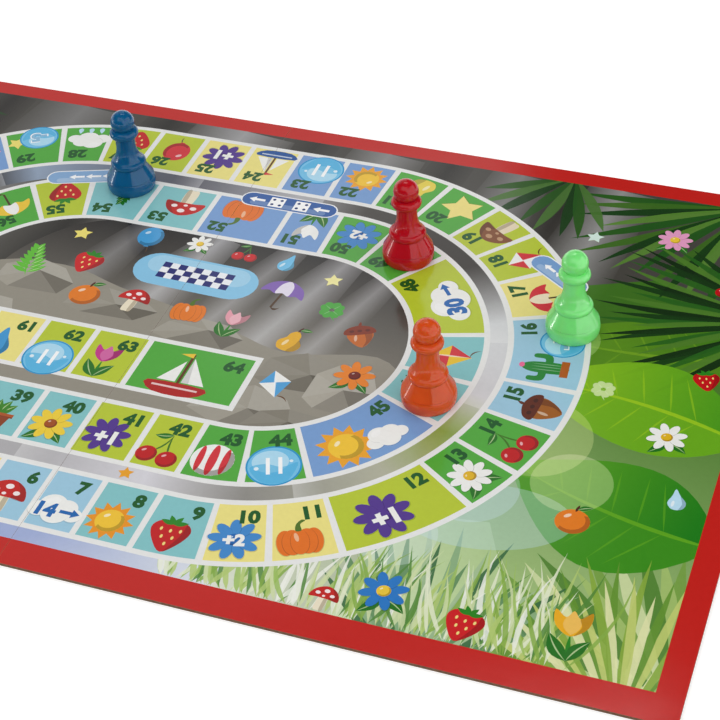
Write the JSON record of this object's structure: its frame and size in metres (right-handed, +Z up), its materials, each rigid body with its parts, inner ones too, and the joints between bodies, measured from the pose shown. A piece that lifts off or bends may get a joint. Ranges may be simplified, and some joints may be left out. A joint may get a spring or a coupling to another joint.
{
  "type": "board game",
  "caption": "Folding race-game board of printed greyboard with a paper hinge at mid-length, moulded plastic pawns standing on its track, and a pair of dice.",
  "frame": {"origin": "middle of the opened board, on the flat underside that it rests on", "axes": "+X along the board's length, towards the right-hand panel; +Y towards the back edge; +Z up out of the printed face"},
  "size_m": [0.386, 0.23, 0.0321],
  "materials": {
    "greyboard": "raw die-cut greyboard",
    "printed_sheet": "offset printed, gloss laminated",
    "lining_paper": "uncoated",
    "hinge_tape": "gummed paper, uncoated",
    "dice_plastic": "polished",
    "blue_plastic": "glossy, as moulded",
    "red_plastic": "glossy, as moulded",
    "orange_plastic": "glossy, as moulded",
    "green_plastic": "glossy, as moulded"
  },
  "bodies": {
    "right_half": {"core_right": "greyboard", "face_right": "printed_sheet", "lining_right": "lining_paper", "hinge_leaf_right": "hinge_tape"},
    "left_half": {"core_left": "greyboard", "face_left": "printed_sheet", "lining_left": "lining_paper", "hinge_leaf_left": "hinge_tape"},
    "blue_pawn": {"pawn_blue": "blue_plastic"},
    "red_pawn": {"pawn_red": "red_plastic"},
    "orange_pawn": {"pawn_orange": "orange_plastic"},
    "green_pawn": {"pawn_green": "green_plastic"},
    "die_one": {"die_one": "dice_plastic"},
    "die_two": {"die_two": "dice_plastic"}
  },
  "joints": [
    {"name": "fold", "type": "hinge", "parent": "right_half", "child": "left_half", "pos_m": [0, 0, -0.00015], "axis": [0, -1, 0], "range_deg": [0, 180]},
    {"name": "blue_pawn_lift", "type": "slide", "parent": "left_half", "child": "blue_pawn", "axis": [0, 0, 1], "range_m": [0, 0.045]},
    {"name": "red_pawn_lift", "type": "slide", "parent": "right_half", "child": "red_pawn", "axis": [0, 0, 1], "range_m": [0, 0.045]},
    {"name": "orange_pawn_lift", "type": "slide", "parent": "right_half", "child": "orange_pawn", "axis": [0, 0, 1], "range_m": [0, 0.045]},
    {"name": "green_pawn_lift", "type": "slide", "parent": "right_half", "child": "green_pawn", "axis": [0, 0, 1], "range_m": [0, 0.045]},
    {"name": "die_one_lift", "type": "slide", "parent": "left_half", "child": "die_one", "axis": [0, 0, 1], "range_m": [0, 0.025]},
    {"name": "die_two_lift", "type": "slide", "parent": "left_half", "child": "die_two", "axis": [0, 0, 1], "range_m": [0, 0.025]}
  ]
}
